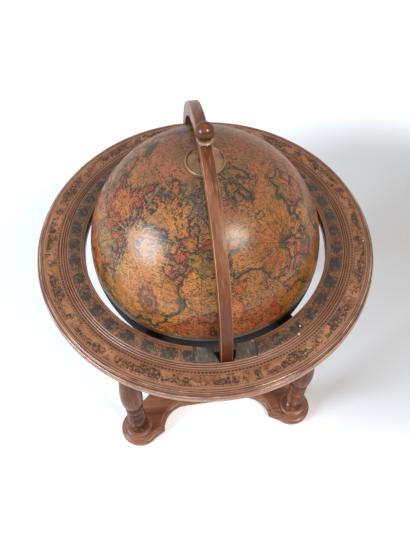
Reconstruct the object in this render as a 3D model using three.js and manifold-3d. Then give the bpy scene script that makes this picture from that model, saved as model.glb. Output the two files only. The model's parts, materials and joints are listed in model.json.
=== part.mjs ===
// Floor globe bar: a hinged half globe over a bowl, held in a wide wooden ring on four turned legs.
// Millimetres, +Z up. The origin is on the floor under the middle of the ring.
// The meridian arch stands in the Y-Z plane: its free foot is at -Y and its hinge at +Y.

import * as THREE from 'three';
import * as BufferGeometryUtils from 'three/addons/utils/BufferGeometryUtils.js';
import Module from 'manifold-3d';

const wasm = await Module();
wasm.setup();

// Driving sizes: globe

const globe_radius = 200;
const shell_wall = 4;
const split_gap = 0.6;
const globe_sink = 6.2;

// Driving sizes: ring

const globe_clearance = 13;
const ring_width = 83.6;
const ring_thickness = 20;
const edge_width = 9;
const edge_depth = 24;
const reed_inset = 29;
const reed_pitch = 4;
const reed_count = 3;
const reed_depth = 1.6;

// Driving sizes: stand

const glide_height = 5;
const glide_radius = 12;
const glide_pin_radius = 2;
const glide_pin_length = 12;
const board_thickness = 24;
const board_edge_step = 7;
const board_edge_drop = 9;
const lobe_radius = 41.5;
const lobe_setback = 3;
const corner_half_width = 48;
const neck_half_width = 33;
const neck_fillet = 52;
const neck_setback = 62;
const leg_length = 411;
const leg_inset = 28.6;
const bulb_radius = 22;
const tenon_radius = 9;
const tenon_length = 12;

// Driving sizes: arch and hinge

const arch_gap = 16;
const arch_depth = 23.6;
const arch_width = 19.2;
const slot_clearance = 2.2;
const guide_toe_clearance = 3.2;
const guide_mouth_clearance = 10;
const guide_half_length = 50;
const guide_depth = 24;
const rest_plate_thickness = 4;
const rest_plate_lap = 14;
const leaf_thickness = 2;
const leaf_length = 26;
const knuckle_radius = 3.2;
const hinge_pin_radius = 1.5;
const screw_radius = 1.6;
const screw_head_radius = 3;
const screw_head_depth = 1.6;
const screw_length = 10;

// Driving sizes: pole

const pole_disc_radius = 31;
const pole_disc_thickness = 3;
const pole_rim_width = 3;
const pole_rim_height = 1.6;
const pole_bolt_radius = 4;
const bolt_end = 3;
const bolt_grip = 12;
const spacer_radius = 10;
const washer_radius = 14;
const washer_thickness = 2;
const seat_margin = 2;
const nut_radius = 8;
const nut_height = 7;
const finial_base_radius = 10.4;
const finial_base_height = 4.6;
const collar_radius = 12.4;
const collar_height = 3.4;
const finial_neck_radius = 7.5;
const finial_neck_height = 1;
const finial_radius = 14.3;

// Driving sizes: bar insert and bowl blocks

const shelf_drop = 48;
const shelf_thickness = 9;
const well_radius = 86;
const well_wall = 4;
const well_floor_gap = 9.5;
const well_flange = 12;
const well_flange_thickness = 4;
const block_width = 30;
const block_height = 42;
const block_lap = 18;

// Running clearance between touching pieces, and the overrun of every cut

const seat_gap = 0.3;
const overrun = 2;

// Round counts

const globe_segments = 48;
const ring_segments = 72;
const leg_segments = 12;
const small_segments = 12;
const screw_segments = 8;
const hinge_segments = 12;
const fine_segments = 24;
const globe_rings = 10;
const globe_inner_rings = 6;
const arch_steps = 40;
const fillet_steps = 4;
const lobe_steps = 8;
const leaf_steps = 3;
const disc_steps = 3;
const ball_steps = 8;

// Levels and radii that follow from the driving sizes

const board_bottom = glide_height;
const board_top = board_bottom + board_thickness;
const leg_bottom = board_top + seat_gap;
const leg_top = leg_bottom + leg_length;
const ring_bottom = leg_top + seat_gap;
const ring_top = ring_bottom + ring_thickness;
const globe_level = ring_top - globe_sink;
const ring_inner_radius = globe_radius + globe_clearance;
const ring_outer_radius = ring_inner_radius + ring_width;
const leg_circle = ring_inner_radius + leg_inset;
const lobe_circle = leg_circle - lobe_setback;
const neck_circle = lobe_circle - neck_setback;
const arch_inner_radius = globe_radius + arch_gap;
const arch_outer_radius = arch_inner_radius + arch_depth;
const globe_inner_radius = globe_radius - shell_wall;
const half_turn = Math.PI;
const quarter_turn = half_turn / 2;
const eighth_turn = half_turn / 4;

// Shares

const flat_foot_share = 0.8;
const base_waist_share = 0.82;
const collar_lip_share = 0.86;
const block_swing_share = 0.18;
const middle_knuckle_share = 0.34;

// Materials

function finish(color, roughness, metalness) {
  return new THREE.MeshStandardMaterial({ color, roughness, metalness });
}

const dark_wood = finish(0x6b3a24, 0.4, 0);
const red_wood = finish(0x7a3f26, 0.35, 0);
const printed_wood = finish(0xa0643c, 0.45, 0);
const printed_globe = finish(0xb07a3a, 0.35, 0);
const black_wood = finish(0x2a211c, 0.6, 0);
const bronze = finish(0x8a6a45, 0.3, 0.9);
const steel = finish(0x8d8a84, 0.35, 0.9);

// Solids: joining, cutting and handing back as meshes

function solid_of(geometry) {
  const bare = geometry.index ? geometry.toNonIndexed() : geometry.clone();
  bare.deleteAttribute('normal');
  bare.deleteAttribute('uv');
  const merged = BufferGeometryUtils.mergeVertices(bare);
  return new wasm.Manifold(new wasm.Mesh({
    numProp: 3,
    vertProperties: new Float32Array(merged.attributes.position.array),
    triVerts: new Uint32Array(merged.index.array),
  }));
}

function geometry_of(solid) {
  const mesh = solid.getMesh();
  const geometry = new THREE.BufferGeometry();
  geometry.setAttribute('position', new THREE.BufferAttribute(mesh.vertProperties, 3));
  geometry.setIndex(new THREE.BufferAttribute(mesh.triVerts, 1));
  geometry.computeVertexNormals();
  return geometry;
}

// A turned shape about the Z axis from [radius, height] points that start and end on the axis

function turned(profile, segments) {
  const points = profile.map(([radius, height]) => new THREE.Vector2(radius, height));
  return new THREE.LatheGeometry(points, segments).rotateX(quarter_turn);
}

function rod(radius, bottom, top, segments) {
  return turned([[0, bottom], [radius, bottom], [radius, top], [0, top]], segments);
}

function tube(inner, outer, bottom, top, segments) {
  return turned([[inner, bottom], [outer, bottom], [outer, top], [inner, top], [inner, bottom]], segments);
}

function block(low, high) {
  const size = high.map((value, axis) => value - low[axis]);
  const middle = high.map((value, axis) => (value + low[axis]) / 2);
  return new THREE.BoxGeometry(...size).translate(...middle);
}

// A flat outline in the X-Y plane raised from one level to another

function raised(points, bottom, top) {
  const shape = new THREE.Shape(points.map(([x, y]) => new THREE.Vector2(x, y)));
  const depth = top - bottom;
  return new THREE.ExtrudeGeometry(shape, { depth, bevelEnabled: false }).translate(0, 0, bottom);
}

const part = new THREE.Group();

function add(name, geometry, material, parent = part) {
  const mesh = new THREE.Mesh(geometry, material);
  mesh.name = name;
  parent.add(mesh);
  return mesh;
}

// A group turned about the Z axis through the origin

function turned_group(angle) {
  const group = new THREE.Group();
  group.rotation.z = angle;
  part.add(group);
  return group;
}

// Each corner of the stand, counted from the front left

const corner_angles = [0, 1, 2, 3].map((index) => -3 * eighth_turn + index * quarter_turn);

// Base board: four round lobes on necks, joined by straight sides

function lobe_outline(grow) {
  const half_neck = neck_half_width + grow;
  const lobe = lobe_radius + grow;
  const fillet = neck_fillet - grow;
  const fillet_offset = half_neck + fillet;
  const corner_rise = Math.acos((fillet_offset - corner_half_width - grow) / fillet);
  const points = [];
  for (let step = 0; step <= fillet_steps; step += 1) {
    const angle = -eighth_turn + (corner_rise + eighth_turn) * (step / fillet_steps);
    points.push([
      neck_circle + fillet * Math.sin(angle),
      -fillet_offset + fillet * Math.cos(angle),
    ]);
  }
  for (let step = 0; step <= lobe_steps; step += 1) {
    const angle = -quarter_turn + half_turn * (step / lobe_steps);
    points.push([lobe_circle + lobe * Math.cos(angle), lobe * Math.sin(angle)]);
  }
  for (let step = fillet_steps; step >= 0; step -= 1) {
    const angle = -eighth_turn + (corner_rise + eighth_turn) * (step / fillet_steps);
    points.push([
      neck_circle + fillet * Math.sin(angle),
      fillet_offset - fillet * Math.cos(angle),
    ]);
  }
  return points;
}

function board_outline(grow) {
  return corner_angles.flatMap((turn) => lobe_outline(grow).map(([x, y]) => [
    x * Math.cos(turn) - y * Math.sin(turn),
    x * Math.sin(turn) + y * Math.cos(turn),
  ]));
}

function base_board() {
  const step_level = board_top - board_edge_drop;
  const lower = solid_of(raised(board_outline(0), board_bottom, step_level));
  const upper = solid_of(raised(board_outline(-board_edge_step), step_level - overrun, board_top));
  let board = lower.add(upper);
  const socket_radius = tenon_radius + seat_gap;
  const pin_hole_radius = glide_pin_radius + seat_gap;
  const pin_hole_top = board_bottom + glide_pin_length + seat_gap;
  for (const angle of corner_angles) {
    const socket = rod(socket_radius, board_top - tenon_length, board_top + overrun, leg_segments);
    const pin_hole = rod(pin_hole_radius, board_bottom - overrun, pin_hole_top, screw_segments);
    for (const cut of [socket, pin_hole]) {
      cut.rotateZ(angle).translate(leg_circle * Math.cos(angle), leg_circle * Math.sin(angle), 0);
      board = board.subtract(solid_of(cut));
    }
  }
  return geometry_of(board);
}

add('base_board', base_board(), dark_wood);

// Glides: domed nail-on feet under the lobes

function glide() {
  const cap_top = board_bottom - seat_gap;
  const cap_shoulder = cap_top - glide_height / 2;
  const pin_top = board_bottom + glide_pin_length;
  const flat_radius = glide_radius * flat_foot_share;
  return turned([
    [0, 0], [flat_radius, 0], [glide_radius, cap_shoulder], [glide_radius, cap_top],
    [glide_pin_radius, cap_top], [glide_pin_radius, pin_top], [0, pin_top],
  ], small_segments);
}

// Turned leg: a long baluster on beads, from [radius share of the bulb, height share of the leg]

const leg_profile_shares = [
  [1.29, 0.000], [1.29, 0.018], [0.88, 0.022], [0.95, 0.030], [0.95, 0.044], [0.88, 0.054],
  [0.71, 0.062], [0.82, 0.085], [0.88, 0.120], [0.86, 0.150], [0.69, 0.186], [0.78, 0.196],
  [0.81, 0.215], [0.78, 0.235], [0.67, 0.248], [0.79, 0.258], [0.82, 0.275], [0.79, 0.292],
  [0.67, 0.305], [0.78, 0.322], [0.93, 0.355], [1.00, 0.410], [0.95, 0.470], [0.78, 0.570],
  [0.56, 0.690], [0.67, 0.706], [0.67, 0.724], [0.54, 0.738], [0.66, 0.772], [0.82, 0.830],
  [0.84, 0.866], [0.69, 0.906], [0.91, 0.922], [0.91, 1.000],
];

function leg() {
  const tenon_floor = leg_bottom - tenon_length + seat_gap;
  const tenon_ceiling = leg_top + tenon_length - seat_gap;
  const turned_points = leg_profile_shares.map(([radius_share, height_share]) => [
    bulb_radius * radius_share,
    leg_bottom + leg_length * height_share,
  ]);
  return turned([
    [0, tenon_floor], [tenon_radius, tenon_floor], [tenon_radius, leg_bottom],
    ...turned_points,
    [tenon_radius, leg_top], [tenon_radius, tenon_ceiling], [0, tenon_ceiling],
  ], leg_segments);
}

corner_angles.forEach((angle, index) => {
  const corner = turned_group(angle);
  const number = index + 1;
  add(`foot_glide_${number}`, glide(), steel, corner).position.x = leg_circle;
  add(`leg_${number}`, leg(), dark_wood, corner).position.x = leg_circle;
});

// Ring: a wide flat hoop with a reeded band and a moulded outer edge

function reed_points() {
  const start = ring_inner_radius + reed_inset;
  const points = [];
  for (let index = 0; index < reed_count; index += 1) {
    const groove = start + index * reed_pitch;
    points.push([groove, ring_top]);
    points.push([groove + reed_pitch / 2, ring_top - reed_depth]);
  }
  points.push([start + reed_count * reed_pitch, ring_top]);
  return points;
}

// Edge moulding as shares of its width outwards and of its depth downwards

const edge_shares = [
  [0.00, 0.00], [0.10, 0.08], [0.34, 0.05], [0.52, 0.12], [0.58, 0.24],
  [0.86, 0.30], [1.00, 0.44], [0.98, 0.56], [0.86, 0.62], [1.00, 0.76], [0.94, 0.90], [0.86, 1.00],
];

function horizon_ring() {
  const edge_start = ring_outer_radius - edge_width;
  const edge_points = edge_shares.map(([width_share, depth_share]) => [
    edge_start + edge_width * width_share,
    ring_top - edge_depth * depth_share,
  ]);
  const back_radius = edge_start - edge_width;
  const profile = [
    [ring_inner_radius, ring_bottom], [ring_inner_radius, ring_top], ...reed_points(), ...edge_points,
    [back_radius, ring_top - edge_depth], [back_radius, ring_bottom], [ring_inner_radius, ring_bottom],
  ].reverse();
  let ring = solid_of(turned(profile, ring_segments));
  const socket_radius = tenon_radius + seat_gap;
  for (const angle of corner_angles) {
    const socket = rod(socket_radius, ring_bottom - overrun, ring_bottom + tenon_length, leg_segments);
    socket.rotateZ(angle).translate(leg_circle * Math.cos(angle), leg_circle * Math.sin(angle), 0);
    ring = ring.subtract(solid_of(socket));
  }
  return geometry_of(ring.subtract(solid_of(foot_notch())));
}

// Front notch of the ring: room for the two guide blocks, and a slot for the arch's free foot

const guide_back = -(ring_inner_radius + guide_depth);
const guide_front = -(ring_inner_radius - seat_gap);
const slot_half_width = arch_width / 2 + slot_clearance;
const slot_back = -(arch_outer_radius + slot_clearance);

function foot_notch() {
  const notch_half = guide_half_length + seat_gap;
  const inside = guide_front + globe_clearance;
  const wide = solid_of(block(
    [-notch_half, guide_back - seat_gap, ring_bottom - overrun],
    [notch_half, inside, ring_top + overrun],
  ));
  const slot = solid_of(block(
    [-slot_half_width, slot_back, ring_bottom - overrun],
    [slot_half_width, inside, ring_top + overrun],
  ));
  return geometry_of(wide.add(slot));
}

// Guide blocks either side of the foot, wider apart towards the globe, and round with the ring's inner edge

function guide_block(side) {
  const toe = side * (arch_width / 2 + guide_toe_clearance);
  const mouth = side * (arch_width / 2 + guide_mouth_clearance);
  const far = side * guide_half_length;
  const inside = guide_back + guide_depth;
  const outline = [[far, guide_back], [toe, guide_back], [mouth, inside], [far, inside]];
  const blank = raised(outline, ring_bottom, ring_top);
  const bore = rod(ring_inner_radius, ring_bottom - overrun, ring_top + overrun, ring_segments);
  return geometry_of(solid_of(blank).subtract(solid_of(bore)));
}

add('foot_guide_left', guide_block(-1), black_wood);
add('foot_guide_right', guide_block(1), black_wood);

// Countersunk wood screw along Z with its head's top at zero, grown by a clearance where it is a hole

function screw_points(grow) {
  const shank = screw_radius + grow;
  const head = screw_head_radius + grow;
  const tip = -screw_length - grow;
  return [[0, tip], [shank, tip], [shank, -screw_head_depth], [head, 0]];
}

function screw() {
  return turned([...screw_points(0), [0, 0]], screw_segments);
}

function screw_hole() {
  const head = screw_head_radius + seat_gap;
  return turned([...screw_points(seat_gap), [head, overrun], [0, overrun]], screw_segments);
}

// Rest plate under the notch, which carries the foot of the closed arch

const rest_plate_top = ring_bottom - seat_gap;
const rest_plate_bottom = rest_plate_top - rest_plate_thickness;
const rest_screw_x = guide_half_length + rest_plate_lap / 2;
const rest_screw_y = guide_back + guide_depth / 2;
const rest_sides = [-1, 1];

function upturned(geometry) {
  return geometry.rotateX(half_turn);
}

function rest_screw_place(geometry, side) {
  return geometry.translate(side * rest_screw_x, rest_screw_y, rest_plate_bottom);
}

function rest_plate() {
  const reach = guide_half_length + rest_plate_lap;
  const blank = block(
    [-reach, slot_back - rest_plate_lap, rest_plate_bottom],
    [reach, guide_front, rest_plate_top],
  );
  const bowl_room = rod(globe_radius + seat_gap, rest_plate_bottom - overrun, ring_top, globe_segments);
  let plate = solid_of(blank).subtract(solid_of(bowl_room));
  for (const side of rest_sides) {
    plate = plate.subtract(solid_of(rest_screw_place(upturned(screw_hole()), side)));
  }
  return geometry_of(plate);
}

function ring_with_screw_holes(ring) {
  let drilled = solid_of(ring);
  for (const side of rest_sides) {
    drilled = drilled.subtract(solid_of(rest_screw_place(upturned(screw_hole()), side)));
    drilled = drilled.subtract(solid_of(ring_leaf_place(screw_hole(), side)));
  }
  return geometry_of(drilled);
}

add('foot_rest_plate', rest_plate(), steel);
rest_sides.forEach((side, index) => {
  add(`rest_plate_screw_${index + 1}`, rest_screw_place(upturned(screw()), side), steel);
});

// Hinge: a small butt hinge behind the arch's rear foot, with its pin along X

const hinge_y = arch_outer_radius + seat_gap + knuckle_radius;
const hinge_z = ring_top + seat_gap + knuckle_radius;
const leaf_start = knuckle_radius + seat_gap;
const leaf_half_width = arch_width / 2;
const middle_half = leaf_half_width * middle_knuckle_share;
const leaf_screw_x = leaf_half_width / 2;
const leaf_screw_reach = (leaf_start + leaf_length) / 2;

function along_x(geometry) {
  return geometry.rotateY(quarter_turn).translate(0, hinge_y, hinge_z);
}

function knuckle(low, high) {
  return solid_of(along_x(rod(knuckle_radius, low, high, hinge_segments)));
}

function pin_bore() {
  const reach = leaf_half_width + overrun;
  return solid_of(along_x(rod(hinge_pin_radius + seat_gap, -reach, reach, hinge_segments)));
}

function ring_leaf_place(geometry, side) {
  const top = ring_top + seat_gap + leaf_thickness;
  return geometry.translate(side * leaf_screw_x, hinge_y + leaf_screw_reach, top);
}

function ring_leaf() {
  const low = ring_top + seat_gap;
  const high = low + leaf_thickness;
  const inner = middle_half + seat_gap;
  const plate = solid_of(block(
    [-leaf_half_width, hinge_y + leaf_start, low],
    [leaf_half_width, hinge_y + leaf_length, high],
  ));
  let leaf = plate;
  for (const side of rest_sides) {
    const near = Math.min(side * inner, side * leaf_half_width);
    const far = Math.max(side * inner, side * leaf_half_width);
    const tongue = solid_of(block([near, hinge_y, low], [far, hinge_y + leaf_start + overrun, high]));
    leaf = leaf.add(knuckle(near, far)).add(tongue);
  }
  leaf = leaf.subtract(pin_bore());
  for (const side of rest_sides) {
    leaf = leaf.subtract(solid_of(ring_leaf_place(screw_hole(), side)));
  }
  return geometry_of(leaf);
}

// A slice of a ring about the X axis through the globe's middle, from one angle to another

function arc_points(radius, from, to, steps) {
  return Array.from({ length: steps + 1 }, (_, step) => {
    const angle = from + (to - from) * (step / steps);
    return [radius * Math.cos(angle), globe_level + radius * Math.sin(angle)];
  });
}

const side_plane = new THREE.Matrix4().makeBasis(
  new THREE.Vector3(0, 1, 0),
  new THREE.Vector3(0, 0, 1),
  new THREE.Vector3(1, 0, 0),
);

function across_x(points, half_width) {
  return raised(points, -half_width, half_width).applyMatrix4(side_plane);
}

const arch_leaf_radius = arch_outer_radius + seat_gap;
const arch_leaf_outer = arch_leaf_radius + leaf_thickness;
const hinge_angle = Math.asin((hinge_z - globe_level) / arch_leaf_outer);
const arch_leaf_from = hinge_angle + leaf_start / arch_leaf_outer;
const arch_leaf_to = hinge_angle + leaf_length / arch_leaf_outer;
const arch_screw_angle = (arch_leaf_from + arch_leaf_to) / 2;

function leaf_sector(from, to, half_width) {
  const outside = arc_points(arch_leaf_outer, from, to, leaf_steps);
  const inside = arc_points(arch_leaf_radius, to, from, leaf_steps);
  return solid_of(across_x([...outside, ...inside], half_width));
}

function arch_leaf_place(geometry, side) {
  return geometry
    .translate(side * leaf_screw_x, 0, arch_leaf_outer)
    .rotateX(arch_screw_angle - quarter_turn)
    .translate(0, 0, globe_level);
}

function arch_leaf() {
  const join = leaf_sector(hinge_angle, arch_leaf_from + seat_gap / arch_leaf_outer, middle_half);
  let leaf = leaf_sector(arch_leaf_from, arch_leaf_to, leaf_half_width)
    .add(join)
    .add(knuckle(-middle_half, middle_half))
    .subtract(pin_bore());
  for (const side of rest_sides) {
    leaf = leaf.subtract(solid_of(arch_leaf_place(screw_hole(), side)));
  }
  return geometry_of(leaf);
}

add('hinge_leaf_ring', ring_leaf(), bronze);
add('hinge_leaf_arch', arch_leaf(), bronze);
add('hinge_pin', along_x(rod(hinge_pin_radius, -leaf_half_width, leaf_half_width, hinge_segments)), steel);
rest_sides.forEach((side, index) => {
  add(`ring_leaf_screw_${index + 1}`, ring_leaf_place(screw(), side), steel);
  add(`arch_leaf_screw_${index + 1}`, arch_leaf_place(screw(), side), steel);
});

add('horizon_ring', ring_with_screw_holes(horizon_ring()), printed_wood);

// Meridian arch: a square-edged bar bent in a half circle, from its hinge to its free foot

const arch_heel = ring_top + seat_gap;
const arch_toe = rest_plate_top + seat_gap;

function meridian_arch() {
  const heel_rise = arch_heel - globe_level;
  const outer_from = Math.asin(heel_rise / arch_outer_radius);
  const inner_from = Math.asin(heel_rise / arch_inner_radius);
  const outline = [
    ...arc_points(arch_outer_radius, outer_from, half_turn, arch_steps),
    [-arch_outer_radius, arch_toe],
    [-arch_inner_radius, arch_toe],
    ...arc_points(arch_inner_radius, half_turn, inner_from, arch_steps),
  ];
  let arch = solid_of(across_x(outline, arch_width / 2));
  const bolt_hole = rod(
    pole_bolt_radius + seat_gap,
    globe_level + arch_inner_radius - overrun,
    globe_level + arch_outer_radius + overrun,
    small_segments,
  );
  arch = arch.subtract(solid_of(bolt_hole));
  for (const side of rest_sides) {
    arch = arch.subtract(solid_of(arch_leaf_place(screw_hole(), side)));
  }
  return geometry_of(arch);
}

add('meridian_arch', meridian_arch(), red_wood);

// Half globes: thin shells about the globe's middle, open at the split

function shell_arc(radius, from, to, steps, direction) {
  return Array.from({ length: steps + 1 }, (_, step) => {
    const angle = from + (to - from) * (step / steps);
    return [radius * Math.sin(angle), globe_level + direction * radius * Math.cos(angle)];
  });
}

const rim_rise = split_gap / 2;
const outer_rim_angle = Math.acos(rim_rise / globe_radius);
const inner_rim_angle = Math.acos(rim_rise / globe_inner_radius);

function lower_bowl() {
  const outside = shell_arc(globe_radius, 0, outer_rim_angle, globe_rings, -1);
  const inside = shell_arc(globe_inner_radius, inner_rim_angle, 0, globe_inner_rings, -1);
  outside[0][0] = 0;
  inside[inside.length - 1][0] = 0;
  return turned([...outside, ...inside], globe_segments);
}

add('lower_bowl', lower_bowl(), black_wood);

const bolt_hole_radius = pole_bolt_radius + seat_gap;
const seat_radius = washer_radius + seat_margin;
const seat_angle = Math.asin(seat_radius / globe_inner_radius);
const seat_level = globe_level + globe_inner_radius * Math.cos(seat_angle);

function upper_dome() {
  const hole_angle = Math.asin(bolt_hole_radius / globe_radius);
  const inside = shell_arc(globe_inner_radius, seat_angle, inner_rim_angle, globe_inner_rings, 1);
  const outside = shell_arc(globe_radius, outer_rim_angle, hole_angle, globe_rings, 1);
  return turned([
    [bolt_hole_radius, seat_level], ...inside, ...outside, [bolt_hole_radius, seat_level],
  ], globe_segments);
}

add('upper_dome', upper_dome(), printed_globe);

// Pole: a rimmed disc on the dome, and the bolt that carries the dome under the arch

function pole_disc() {
  const below = globe_radius + seat_gap;
  const above = below + pole_disc_thickness;
  const under_angle = Math.asin(pole_disc_radius / below);
  const hole_angle = Math.asin(bolt_hole_radius / below);
  const rim_start = Math.asin((pole_disc_radius - pole_rim_width) / above);
  const underside = shell_arc(below, hole_angle, under_angle, disc_steps, 1);
  const face = shell_arc(above, rim_start, hole_angle, disc_steps, 1);
  const edge_top = face[0][1] + pole_rim_height;
  return turned([
    ...underside,
    [pole_disc_radius, edge_top],
    [pole_disc_radius - pole_rim_width, edge_top],
    ...face,
    [bolt_hole_radius, underside[0][1]],
  ], fine_segments);
}

add('pole_disc', pole_disc(), bronze);

const disc_top = globe_level + globe_radius + seat_gap + pole_disc_thickness;
const spacer_bottom = disc_top + seat_gap;
const spacer_top = globe_level + arch_inner_radius - arch_sag(arch_inner_radius) - seat_gap;
const washer_top = seat_level - seat_gap;
const washer_bottom = washer_top - washer_thickness;
const nut_top = washer_bottom - seat_gap;
const nut_bottom = nut_top - nut_height;
const base_bottom = globe_level + arch_outer_radius + seat_gap;
const base_top = base_bottom + finial_base_height;
const collar_bottom = base_top + seat_gap;
const collar_top = collar_bottom + collar_height;
const ball_bottom = collar_top + seat_gap;
const neck_drop = Math.sqrt(finial_radius ** 2 - finial_neck_radius ** 2);
const ball_middle = ball_bottom + finial_neck_height + neck_drop;
const bolt_top = ball_bottom + bolt_grip;

// How far a chord of the arch's inner face sinks below its circle

function arch_sag(radius) {
  return radius * (1 - Math.cos(half_turn / (2 * arch_steps)));
}

function pole_sleeve(radius, bottom, top) {
  return tube(bolt_hole_radius, radius, bottom, top, small_segments);
}

add('pole_spacer', pole_sleeve(spacer_radius, spacer_bottom, spacer_top), dark_wood);
add('pole_bolt', rod(pole_bolt_radius, nut_bottom - bolt_end, bolt_top, small_segments), steel);
add('pole_washer', pole_sleeve(washer_radius, washer_bottom, washer_top), steel);

function hexagon(radius, bottom, top) {
  const sides = 6;
  const body = solid_of(rod(radius, bottom, top, sides));
  const bore = solid_of(rod(bolt_hole_radius, bottom - overrun, top + overrun, small_segments));
  return geometry_of(body.subtract(bore));
}

add('pole_nut', hexagon(nut_radius, nut_bottom, nut_top), steel);

// Finial: a turned foot, a thin collar and a ball screwed on the bolt

function finial_base() {
  const waist = finial_base_radius * base_waist_share;
  const waist_level = base_bottom + finial_base_height / 2;
  return turned([
    [bolt_hole_radius, base_bottom], [finial_base_radius, base_bottom], [waist, waist_level],
    [finial_base_radius, base_top], [bolt_hole_radius, base_top], [bolt_hole_radius, base_bottom],
  ], small_segments);
}

function finial_collar() {
  const lip = collar_radius * collar_lip_share;
  const middle = collar_bottom + collar_height / 2;
  return turned([
    [bolt_hole_radius, collar_bottom], [lip, collar_bottom], [collar_radius, middle],
    [lip, collar_top], [bolt_hole_radius, collar_top], [bolt_hole_radius, collar_bottom],
  ], fine_segments);
}

function finial_ball() {
  const start = Math.asin(finial_neck_radius / finial_radius);
  const ball = Array.from({ length: ball_steps + 1 }, (_, step) => {
    const angle = start + (half_turn - start) * (step / ball_steps);
    return [finial_radius * Math.sin(angle), ball_middle - finial_radius * Math.cos(angle)];
  });
  ball[ball_steps][0] = 0;
  return turned([
    [0, bolt_top + seat_gap], [bolt_hole_radius, bolt_top + seat_gap], [bolt_hole_radius, ball_bottom],
    [finial_neck_radius, ball_bottom], ...ball,
  ], small_segments);
}

add('finial_base', finial_base(), dark_wood);
add('finial_collar', finial_collar(), bronze);
add('finial_ball', finial_ball(), red_wood);

// Corner blocks that hold the bowl under the ring, cut to the bowl's round

const block_swing = half_turn * block_swing_share;
const block_angles = [-quarter_turn, quarter_turn].flatMap((middle) => [
  middle - block_swing,
  middle + block_swing,
]);

// How much a faceted ball must grow so that its flats clear the round one

const flat_grow = 1 / Math.cos(half_turn / globe_segments) ** 2;

function bowl_block() {
  const top = ring_bottom - seat_gap;
  const blank = block(
    [globe_radius - block_lap, -block_width / 2, top - block_height],
    [ring_inner_radius + block_lap, block_width / 2, top],
  );
  const room_radius = (globe_radius + seat_gap) * flat_grow;
  const round = new THREE.SphereGeometry(room_radius, globe_segments, globe_segments / 2);
  const room = solid_of(round.rotateX(quarter_turn).translate(0, 0, globe_level));
  return geometry_of(solid_of(blank).subtract(room));
}

block_angles.forEach((angle, index) => {
  add(`bowl_block_${index + 1}`, bowl_block(), black_wood, turned_group(angle));
});

// Bar insert: a ring-shaped glass shelf on the bowl's wall, and a bottle well hung in its middle

const shelf_top = globe_level - shelf_drop;
const shelf_bottom = shelf_top - shelf_thickness;
const bowl_clear_radius = globe_inner_radius / flat_grow;

function glass_shelf() {
  const reach = Math.sqrt(bowl_clear_radius ** 2 - (shelf_drop + shelf_thickness) ** 2) - seat_gap;
  return tube(well_radius + seat_gap, reach, shelf_bottom, shelf_top, globe_segments);
}

function bottle_well() {
  const flange_bottom = shelf_top + seat_gap;
  const flange_top = flange_bottom + well_flange_thickness;
  const bowl_drop = Math.sqrt(bowl_clear_radius ** 2 - well_radius ** 2);
  const bottom = globe_level - bowl_drop + well_floor_gap;
  const floor_top = bottom + well_wall;
  const bore = well_radius - well_wall;
  const flange_radius = well_radius + well_flange;
  return turned([
    [0, bottom], [well_radius, bottom], [well_radius, flange_bottom], [flange_radius, flange_bottom],
    [flange_radius, flange_top], [bore, flange_top], [bore, floor_top], [0, floor_top],
  ], fine_segments);
}

add('glass_shelf', glass_shelf(), dark_wood);
add('bottle_well', bottle_well(), black_wood);

export default part;
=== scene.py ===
# Looks of the floor globe bar: finer turned forms, printed wood, varnish, lamps and the camera.
# Sizes are in millimetres as in the part's source, and turned into metres where a mesh is made.

import json
from math import acos, asin, cos, pi, radians, sin, sqrt

import bpy
from mathutils import Matrix, Vector


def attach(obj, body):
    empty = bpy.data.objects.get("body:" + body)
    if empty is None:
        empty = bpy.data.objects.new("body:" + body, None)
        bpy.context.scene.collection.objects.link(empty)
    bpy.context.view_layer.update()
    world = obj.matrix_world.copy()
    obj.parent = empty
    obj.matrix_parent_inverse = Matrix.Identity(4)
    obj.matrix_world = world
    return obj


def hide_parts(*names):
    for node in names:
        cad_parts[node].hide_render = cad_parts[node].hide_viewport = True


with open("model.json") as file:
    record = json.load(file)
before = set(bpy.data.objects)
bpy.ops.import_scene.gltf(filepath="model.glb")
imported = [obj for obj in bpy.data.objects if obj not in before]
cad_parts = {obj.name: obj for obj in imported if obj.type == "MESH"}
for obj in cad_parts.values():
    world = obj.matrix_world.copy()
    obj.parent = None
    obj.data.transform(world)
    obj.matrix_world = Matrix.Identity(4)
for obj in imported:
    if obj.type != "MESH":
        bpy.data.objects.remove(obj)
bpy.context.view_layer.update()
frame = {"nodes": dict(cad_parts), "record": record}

METRE = 0.001
middle_grey = (0.5, 0.5, 0.5)

# Sizes of the solids that the finer pieces stand for

globe_radius = 200
shell_wall = 4
globe_level = 454.4
rim_rise = 0.3
ring_inner = 213
ring_outer = 296.6
ring_bottom = 440.6
ring_top = 460.6
edge_width = 9
edge_depth = 24
# Heights of the painted shade in the grooves and of the painted highlights on the crests of the ring's edge,
# as shares of its depth
shaded_groove_shares = (0.06, 0.235, 0.61)
highlight_crest_shares = (0.02, 0.29, 0.67)
reed_start = 242
reed_pitch = 4
reed_count = 3
reed_depth = 1.6
board_top = 29
lobe_radius = 41.5
leg_circle = 241.6
lobe_circle = 238.6
neck_circle = 176.6
corner_half_width = 48
neck_half_width = 33
neck_fillet = 52
leg_bottom = 29.3
leg_length = 411
bulb_radius = 22
tenon_radius = 9
tenon_length = 12
arch_inner = 216
arch_outer = 239.6
arch_width = 19.2
arch_heel = 460.9
arch_toe = 440.6
slot_clearance = 2.2
guide_toe = 12.8
guide_mouth = 19.85
guide_far = 50
guide_back = -237
bolt_hole = 4.3
seat_gap = 0.3
overrun = 2
arch_overrun = 4

# Camera, as fitted to the outlines of the ring, globe, arch and legs in the photograph

camera_place = (-0.0887, -0.6314, 1.3362)
camera_right = (0.99000, -0.14103, -0.00189)
camera_up = (0.11956, 0.83203, 0.54169)
camera_back = (-0.07482, -0.53650, 0.84058)
camera_lens = 40.40
camera_sensor = 36
camera_reach = 50

# Counts of steps round and along the forms, and the angle in degrees over which an edge stays sharp

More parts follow.
